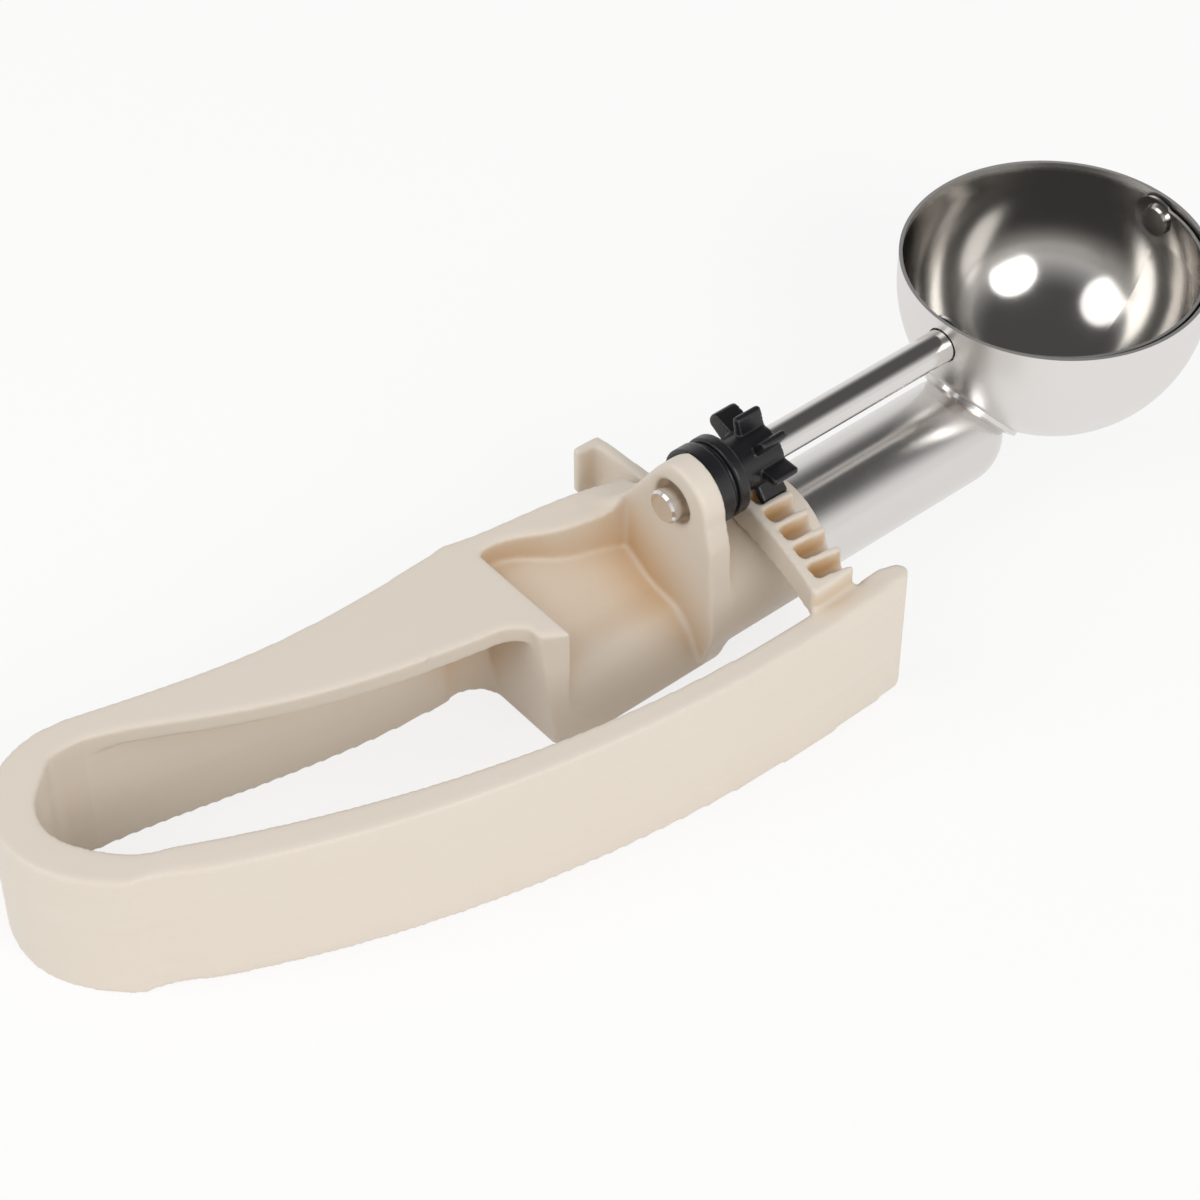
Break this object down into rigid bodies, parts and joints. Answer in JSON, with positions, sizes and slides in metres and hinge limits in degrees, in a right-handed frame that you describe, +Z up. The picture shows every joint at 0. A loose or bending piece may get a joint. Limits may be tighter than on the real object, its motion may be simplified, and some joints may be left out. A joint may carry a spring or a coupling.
{
  "type": "lever ice cream scoop",
  "caption": "Ice cream scoop with a round steel bowl, a one-piece squeeze handle, and a rack and pinion that sweep a wiper blade through the bowl.",
  "frame": {"origin": "on the resting plane, on the flat base of the handle's block, under the shank's axis", "axes": "+X along the shank towards the bowl, +Z up out of the bowl's mouth, +Y away from the squeeze lever"},
  "size_m": [0.2896, 0.077, 0.0534],
  "materials": {
    "handle": "moulded, ivory, semi-matte",
    "steel": "polished stainless, satin outside the bowl",
    "pinion": "moulded, black, semi-gloss"
  },
  "bodies": {
    "frame": {"handle_stem": "handle", "loop_bend": "handle", "shank_tube": "steel", "bowl_saddle": "steel", "bowl": "steel"},
    "lever": {"squeeze_lever": "handle", "gear_rack": "handle"},
    "wiper": {"wiper_rod": "steel", "pinion": "pinion", "wiper_blade": "steel", "blade_pivot": "steel"}
  },
  "joints": [
    {"name": "lever_squeeze", "type": "hinge", "parent": "frame", "child": "lever", "pos_m": [-0.1252, 0.0166, 0.01615], "axis": [0, 0, 1], "range_deg": [0, 6.03], "stiffness_Nm_per_rad": 12, "springref_deg": -5.73, "deforming": ["loop_bend"]},
    {"name": "wiper_turn", "type": "hinge", "parent": "frame", "child": "wiper", "pos_m": [0.1, 0, 0.0434], "axis": [1, 0, 0], "range_deg": [0, 148]}
  ],
  "couplings": [
    {"joint": "wiper_turn", "follows": "lever_squeeze", "ratio": 24.564}
  ]
}
